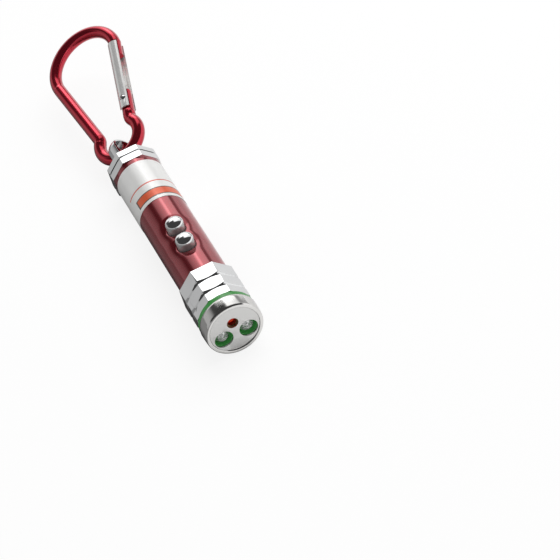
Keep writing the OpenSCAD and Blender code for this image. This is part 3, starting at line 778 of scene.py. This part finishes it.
# Net of the tube: columns around it, the first of which cross a patch around each hole, and rows along it.
PATCH_X = 4.2 * MM
PATCH_Y = (BUTTON_Y[1] - BUTTON_Y[0]) / 2
PATCH_STEPS = 16
ROUND_STEPS = 60
MARGIN_STEP = 0.5 * MM
MARGINS = [MARGIN_STEP * i for i in range(1, 6)]
PATCH_HALF = math.asin(PATCH_X / TUBE_R)
COLUMNS = [PATCH_HALF * (2 * j / PATCH_STEPS - 1) for j in range(PATCH_STEPS)]
COLUMNS += [PATCH_HALF + 2 * (math.pi - PATCH_HALF) * j / ROUND_STEPS for j in range(ROUND_STEPS)]
PATCHES_FROM = BUTTON_Y[0] - PATCH_Y
PATCHES_TO = BUTTON_Y[1] + PATCH_Y
ROWS = [tube_lo.y] + [PATCHES_FROM - d for d in reversed(MARGINS)]
FIRST_ROW = len(ROWS)
ROWS += [PATCHES_FROM + 2 * PATCH_Y * i / PATCH_STEPS for i in range(2 * PATCH_STEPS + 1)]
ROWS += [PATCHES_TO + d for d in MARGINS] + [tube_hi.y]
# Rings within a patch, as shares of the way out from the hole, closer together near it.
PATCH_RINGS = 9
RING_CROWDING = 1.3
RING_SHARES = [(k / PATCH_RINGS) ** RING_CROWDING for k in range(PATCH_RINGS)]


def dish(x, y, depth):
    """Depth of the dish at a place seen from above."""
    flat = 1.0
    for middle in BUTTON_Y:
        t = (math.hypot(x, y - middle) - HOLE_R) / (DISH_R - HOLE_R)
        flat *= 1 - (1 - min(max(t, 0), 1)) ** DISH_CURVE
    return depth * (1 - flat)


def on_tube(bm, radius, depth, x, y, drop):
    """A vertex on the dished tube at a place seen from above, sunk by a drop."""
    a = math.asin(x / radius)
    r = radius - dish(x, y, depth) - drop
    return bm.verts.new((AXIS.x + r * math.sin(a), y, AXIS.z + r * math.cos(a)))


def inside_patch(j, i):
    """Whether a column and a row cross inside a patch around a hole."""
    return 0 < j < PATCH_STEPS and (i - FIRST_ROW) % PATCH_STEPS and 0 < i - FIRST_ROW < 2 * PATCH_STEPS


def tube_net(bm, radius, depth):
    """Draws a tube without its patches, and returns its vertices by column and row."""
    net = {}
    for i, y in enumerate(ROWS):
        for j, a in enumerate(COLUMNS):
            if not inside_patch(j, i):
                x = radius * math.sin(a)
                r = radius - (dish(x, y, depth) if math.cos(a) > 0 else 0)
                net[j, i] = bm.verts.new((AXIS.x + x * r / radius, y, AXIS.z + r * math.cos(a)))
    for i in range(len(ROWS) - 1):
        for j in range(len(COLUMNS)):
            if not (j < PATCH_STEPS and FIRST_ROW <= i < FIRST_ROW + 2 * PATCH_STEPS):
                n = (j + 1) % len(COLUMNS)
                bm.faces.new((net[j, i], net[n, i], net[n, i + 1], net[j, i + 1]))
    return net


def button_hole(bm, net, hole, radius, depth, lip):
    """Draws the patch around a hole as rings of faces, and returns the hole's edge."""
    middle = BUTTON_Y[hole]
    low = FIRST_ROW + hole * PATCH_STEPS
    n = PATCH_STEPS
    rim = [(j, low) for j in range(n)] + [(n, low + i) for i in range(n)]
    rim += [(n - j, low + n) for j in range(n)] + [(0, low + n - i) for i in range(n)]
    rounding = [(HOLE_R + lip * (1 - math.sin(a)), lip * (1 - math.cos(a))) for a in LIP_TURNS if lip]
    start = HOLE_R + lip
    spokes = []
    for j, i in rim:
        dx = radius * math.sin(COLUMNS[j])
        dy = ROWS[i] - middle
        reach = math.hypot(dx, dy)
        rings = [(start + (reach - start) * share, 0.0) for share in RING_SHARES]
        spokes.append([
            on_tube(bm, radius, depth, dx / reach * r, middle + dy / reach * r, drop)
            for r, drop in rounding + rings
        ] + [net[j, i]])
    for here, there in zip(spokes, spokes[1:] + spokes[:1]):
        for corners in zip(here, here[1:], there[1:], there):
            bm.faces.new(corners)
    return [spoke[0] for spoke in spokes]


def tube_shell(bm, radius, depth, lip):
    """Draws one side of the tube's wall, and returns the edges of its holes and ends."""
    net = tube_net(bm, radius, depth)
    holes = [button_hole(bm, net, hole, radius, depth, lip) for hole in range(len(BUTTON_Y))]
    ends = [[net[j, i] for j in range(len(COLUMNS))] for i in (0, len(ROWS) - 1)]
    return holes + ends


def dished_tube():
    """Stands for the tube: an outer and an inner side, joined at the holes and ends."""
    bm = bmesh.new()
    outer = tube_shell(bm, TUBE_R, DISH_DEPTH, HOLE_LIP)
    inner = tube_shell(bm, TUBE_R - TUBE_WALL, DISH_DEPTH_INSIDE, 0.0)
    for a, b in zip(outer, inner):
        for i in range(len(a)):
            n = (i + 1) % len(a)
            bm.faces.new((a[i], a[n], b[n], b[i]))
    bmesh.ops.recalc_face_normals(bm, faces=bm.faces)
    mesh = smooth_mesh(bm, "barrel_tube_dished", TUBE_SHARP)
    piece = add_piece("barrel_tube_dished", mesh, red_tube, "barrel")
    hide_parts("barrel_tube")


dished_tube()


def place_camera():
    camera = bpy.data.objects.new("camera", bpy.data.cameras.new("camera"))
    camera.data.lens = CAMERA_LENS
    camera.data.sensor_width = CAMERA_SENSOR
    camera.data.clip_start = CAMERA_NEAR
    axes = Matrix((CAMERA_RIGHT, CAMERA_UP, CAMERA_RIGHT.cross(CAMERA_UP))).transposed()
    camera.matrix_world = Matrix.Translation(CAMERA_PLACE) @ axes.to_4x4()
    bpy.context.scene.collection.objects.link(camera)
    bpy.context.scene.camera = camera


def floor_paint():
    """White to the camera, with soft shadows; in metal, bright on the right and ahead with a painted glow
    ahead, painted shade elsewhere.
    """
    m, tree, shader = material(
        "floor", Roughness=FLOOR_ROUGH, Specular_IOR_Level=0.0, Emission_Color=(1.0, 1.0, 1.0)
    )
    path = tree.nodes.new("ShaderNodeLightPath")
    x, y, _ = parts_of(tree, place_of(tree))
    near = step(tree, x, AXIS.x + NEAR_EDGE[0], AXIS.x + NEAR_EDGE[1])
    right = step(tree, x, AXIS.x + RIGHT_EDGE[0], AXIS.x + RIGHT_EDGE[1])
    ahead = step(tree, y, FRONT_Y + FRONT_EDGE[0], FRONT_Y + FRONT_EDGE[1])
    beside = step(tree, x, AXIS.x + FRONT_LEFT_EDGE[0], AXIS.x + FRONT_LEFT_EDGE[1])
    front = maths(tree, "MULTIPLY", ahead, beside)
    # Painted shade in what metal mirrors, left of and under the barrel.
    mirrored = spread(tree, near, FLOOR_SHADE_LEFT, FLOOR_SHADE_NEAR)
    mirrored = mix(tree, maths(tree, "MAXIMUM", right, front), mirrored, (FLOOR_MIRRORED,) * 3)
    change = maths(tree, "SUBTRACT", mirrored, FLOOR_COLOUR)
    tone = maths(tree, "MULTIPLY_ADD", path.outputs["Is Glossy Ray"], change, FLOOR_COLOUR)
    tone = maths(tree, "MULTIPLY", tone, spread(tree, path.outputs["Is Camera Ray"], 1.0, FLOOR_SEEN))
    tone = maths(tree, "MULTIPLY", tone, spread(tree, noise(tree, FLOOR_GRAIN, 2), *FLOOR_TONE))
    link(tree, tone, shader.inputs["Base Color"])
    # Painted glow ahead of the bezel, seen only in metal.
    shine = maths(tree, "MULTIPLY", path.outputs["Is Glossy Ray"], front)
    shine = maths(tree, "MULTIPLY", shine, FLOOR_PAINTED_GLOW)
    shine = maths(tree, "MULTIPLY_ADD", path.outputs["Is Camera Ray"], FLOOR_GLOW, shine)
    link(tree, shine, shader.inputs["Emission Strength"])
    return m


def lay_floor():
    mesh = bpy.data.meshes.new("floor")
    corners = [(x * FLOOR_HALF, y * FLOOR_HALF, 0) for x, y in ((-1, -1), (1, -1), (1, 1), (-1, 1))]
    mesh.from_pydata(corners, [], [(0, 1, 2, 3)])
    mesh.materials.append(floor_paint())
    floor = bpy.data.objects.new("floor", mesh)
    bpy.context.scene.collection.objects.link(floor)


def light_world():
    """White behind the object, even light on it, and a studio for polished metal to mirror."""
    world = bpy.data.worlds.new("studio")
    bpy.context.scene.world = world
    world.use_nodes = True
    tree = world.node_tree
    x, y, z = parts_of(tree, tree.nodes.new("ShaderNodeTexCoord").outputs["Generated"])
    turn = maths(tree, "MULTIPLY_ADD", maths(tree, "ARCTAN2", z, x), 0.5 / math.pi, 0.5)
    glow = maths(tree, "MULTIPLY", ramp(tree, turn, STUDIO_GLOW), step(tree, y, *GLOW_FROM))
    bands = maths(tree, "ADD", ramp(tree, turn, STUDIO_BANDS), glow)
    low = spread(tree, step(tree, x, *FRONT_SIDES), STUDIO_FRONT_LEFT, STUDIO_FRONT_RIGHT)
    height = maths(tree, "MULTIPLY_ADD", x, ZENITH_LEAN, z)
    front = mix(tree, step(tree, height, *ZENITH_FROM), low, (STUDIO_ZENITH,) * 3)
    mirrored = mix(tree, step(tree, y, *BANDS_FROM), front, bands)
    mirrored = mix(tree, step(tree, y, *BACK_FROM), mirrored, (STUDIO_BACK,) * 3)
    path = tree.nodes.new("ShaderNodeLightPath")
    plain = mix(tree, path.outputs["Is Camera Ray"], (DAYLIGHT,) * 3, (1.0,) * 3)
    seen = mix(tree, path.outputs["Is Glossy Ray"], plain, mirrored)
    link(tree, seen, tree.nodes["Background"].inputs["Color"])


def hang_key_light():
    """One broad lamp, high at the back right, shapes the matt surfaces."""
    key = bpy.data.objects.new("key", bpy.data.lights.new("key", "AREA"))
    key.data.shape = "DISK"
    key.data.size = KEY_SIZE
    key.data.energy = KEY_POWER
    key.location = KEY_PLACE
    key.rotation_euler = KEY_PLACE.to_track_quat("Z", "Y").to_euler()
    key.visible_glossy = False
    bpy.context.scene.collection.objects.link(key)


place_camera()
lay_floor()
light_world()
hang_key_light()
bpy.context.scene.view_settings.view_transform = "Standard"
